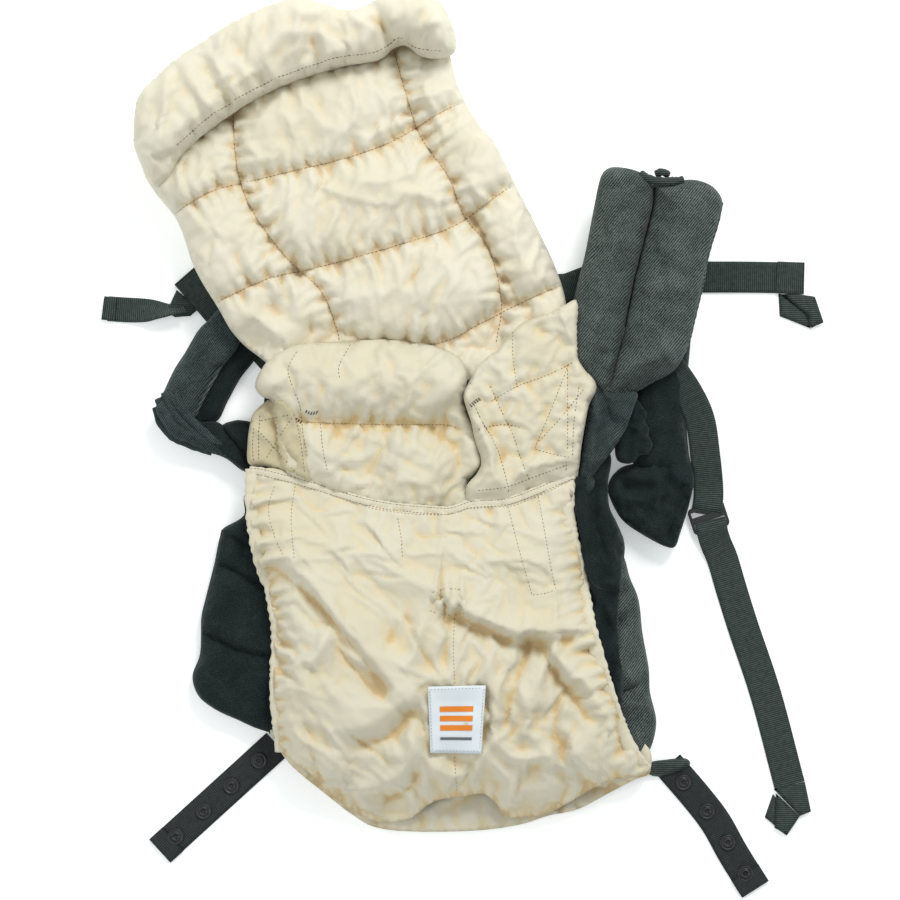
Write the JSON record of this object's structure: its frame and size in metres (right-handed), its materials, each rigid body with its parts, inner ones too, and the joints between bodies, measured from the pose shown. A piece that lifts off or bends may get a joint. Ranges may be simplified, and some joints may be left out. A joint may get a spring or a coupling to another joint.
{
  "type": "soft baby carrier",
  "caption": "Soft structured baby carrier with a padded waist belt, shoulder straps, fold-down hood and quilted infant insert, laid flat.",
  "frame": {"origin": "middle of the carrier's footprint on the table", "axes": "+Z up from the table, +Y from the hood's hem to the head end of the insert, +X to the right as seen from above with +Y up"},
  "size_m": [0.576, 0.7186, 0.088],
  "materials": {
    "camel_cotton": "washed cotton sateen, crumpled",
    "quilted_cotton": "quilted washed cotton sateen",
    "dark_canvas": "washed cotton twill",
    "dark_webbing": "ribbed woven webbing",
    "black_plastic": "moulded acetal",
    "foam": "polyurethane foam",
    "wadding": "polyester wadding",
    "elastic": "braided elastic",
    "woven_label": "woven satin label",
    "zip_tape": "woven zip tape with coil",
    "zip_metal": "dark nickel"
  },
  "bodies": {
    "root": {"waist_belt_cover": "dark_canvas", "waist_belt_foam": "foam", "waist_webbing_left": "dark_webbing", "waist_webbing_right": "dark_webbing", "waist_buckle_shell": "black_plastic", "waist_buckle_plug": "black_plastic", "body_panel_cover": "dark_canvas", "body_lining": "camel_cotton", "head_roll_cover": "camel_cotton", "head_roll_foam": "foam", "front_band": "camel_cotton", "left_corner_patch": "camel_cotton", "right_corner_flap": "camel_cotton", "hood_facing_band": "camel_cotton", "pocket_bag": "dark_canvas", "pocket_zip_tape": "zip_tape", "chest_webbing_left": "dark_webbing", "chest_webbing_right": "dark_webbing", "chest_buckle_shell": "black_plastic", "chest_buckle_plug": "black_plastic"},
    "zip_slider": {"pocket_zip_slider": "zip_metal"},
    "waist_prong_back": {"waist_buckle_prong_back": "black_plastic"},
    "waist_prong_front": {"waist_buckle_prong_front": "black_plastic"},
    "chest_prong_back": {"chest_buckle_prong_back": "black_plastic"},
    "chest_prong_front": {"chest_buckle_prong_front": "black_plastic"},
    "hood": {"hood_outer": "camel_cotton", "hood_lining": "camel_cotton", "hood_left_elastic": "elastic", "hood_right_elastic": "elastic", "hood_crown_elastic": "elastic", "hood_label": "woven_label", "right_snap_strap_root": "dark_webbing"},
    "left_snap": {"left_snap_strap": "dark_webbing", "left_strap_snaps": "black_plastic"},
    "right_snap": {"right_snap_strap": "dark_webbing", "right_strap_snaps": "black_plastic"},
    "right_strap": {"right_strap_cover": "dark_canvas", "right_strap_foam": "foam", "right_strap_top_loop": "dark_webbing", "right_adjuster_webbing": "dark_webbing", "right_chest_webbing": "dark_webbing", "right_chest_fold": "dark_webbing"},
    "right_lock": {"right_ladder_lock": "black_plastic"},
    "right_tail": {"right_tail_webbing": "dark_webbing", "right_tail_hem": "dark_webbing"},
    "left_strap": {"left_strap_cover": "dark_canvas", "left_strap_foam": "foam", "left_ribbed_webbing": "dark_webbing"},
    "left_tail": {"left_tail_webbing": "dark_webbing", "left_tail_hem": "dark_webbing"},
    "insert": {"insert_quilt_cover": "quilted_cotton", "insert_quilt_wadding": "wadding", "insert_head_roll_cover": "quilted_cotton", "insert_head_roll_wadding": "wadding"}
  },
  "joints": [
    {"name": "hood_fold", "type": "hinge", "parent": "root", "child": "hood", "pos_m": [-0.041, -0.05369, 0.058], "axis": [-1, 0, 0], "range_deg": [0, 110]},
    {"name": "left_snap_strap_fold", "type": "hinge", "parent": "hood", "child": "left_snap", "pos_m": [-0.153, -0.24069, 0.002], "axis": [-0.6733, 0.7394, 0], "range_deg": [0, 85]},
    {"name": "right_snap_strap_fold", "type": "hinge", "parent": "hood", "child": "right_snap", "pos_m": [0.167, -0.25669, 0.002], "axis": [-0.7568, -0.6536, 0], "range_deg": [0, 85]},
    {"name": "right_strap_lift", "type": "hinge", "parent": "root", "child": "right_strap", "pos_m": [0.087, 0.06231, 0.0583], "axis": [0, -1, 0], "range_deg": [0, 60]},
    {"name": "right_lock_tilt", "type": "hinge", "parent": "right_strap", "child": "right_lock", "pos_m": [0.19291, -0.04618, 0.0045], "axis": [-0.9511, -0.309, 0], "range_deg": [0, 30]},
    {"name": "right_tail_lift", "type": "hinge", "parent": "right_lock", "child": "right_tail", "pos_m": [0.2, -0.06819, 0.002], "axis": [-0.9487, -0.3162, 0], "range_deg": [0, 45]},
    {"name": "left_strap_swing", "type": "hinge", "parent": "root", "child": "left_strap", "pos_m": [-0.169, 0.00631, 0.01], "axis": [0, 0, 1], "range_deg": [0, 30]},
    {"name": "left_tail_lift", "type": "hinge", "parent": "left_strap", "child": "left_tail", "pos_m": [-0.216, 0.11031, 0.002], "axis": [0, 1, 0], "range_deg": [0, 60]},
    {"name": "insert_pull_out", "type": "slide", "parent": "root", "child": "insert", "axis": [0, 1, 0], "range_m": [0, 0.35]},
    {"name": "zip_slide", "type": "slide", "parent": "root", "child": "zip_slider", "axis": [1, 0, 0], "range_m": [0, 0.12]},
    {"name": "waist_prong_back_press", "type": "hinge", "parent": "root", "child": "waist_prong_back", "pos_m": [-0.0044, 0.02079, 0.007], "axis": [0, 0, 1], "range_deg": [0, 9], "stiffness_Nm_per_rad": 0.3},
    {"name": "waist_prong_front_press", "type": "hinge", "parent": "root", "child": "waist_prong_front", "pos_m": [-0.0044, -0.00417, 0.007], "axis": [0, 0, -1], "range_deg": [0, 9], "stiffness_Nm_per_rad": 0.3},
    {"name": "chest_prong_back_press", "type": "hinge", "parent": "root", "child": "chest_prong_back", "pos_m": [-0.0444, 0.13341, 0.0055], "axis": [0, 0, 1], "range_deg": [0, 9], "stiffness_Nm_per_rad": 0.3},
    {"name": "chest_prong_front_press", "type": "hinge", "parent": "root", "child": "chest_prong_front", "pos_m": [-0.0444, 0.11521, 0.0055], "axis": [0, 0, -1], "range_deg": [0, 9], "stiffness_Nm_per_rad": 0.3}
  ]
}
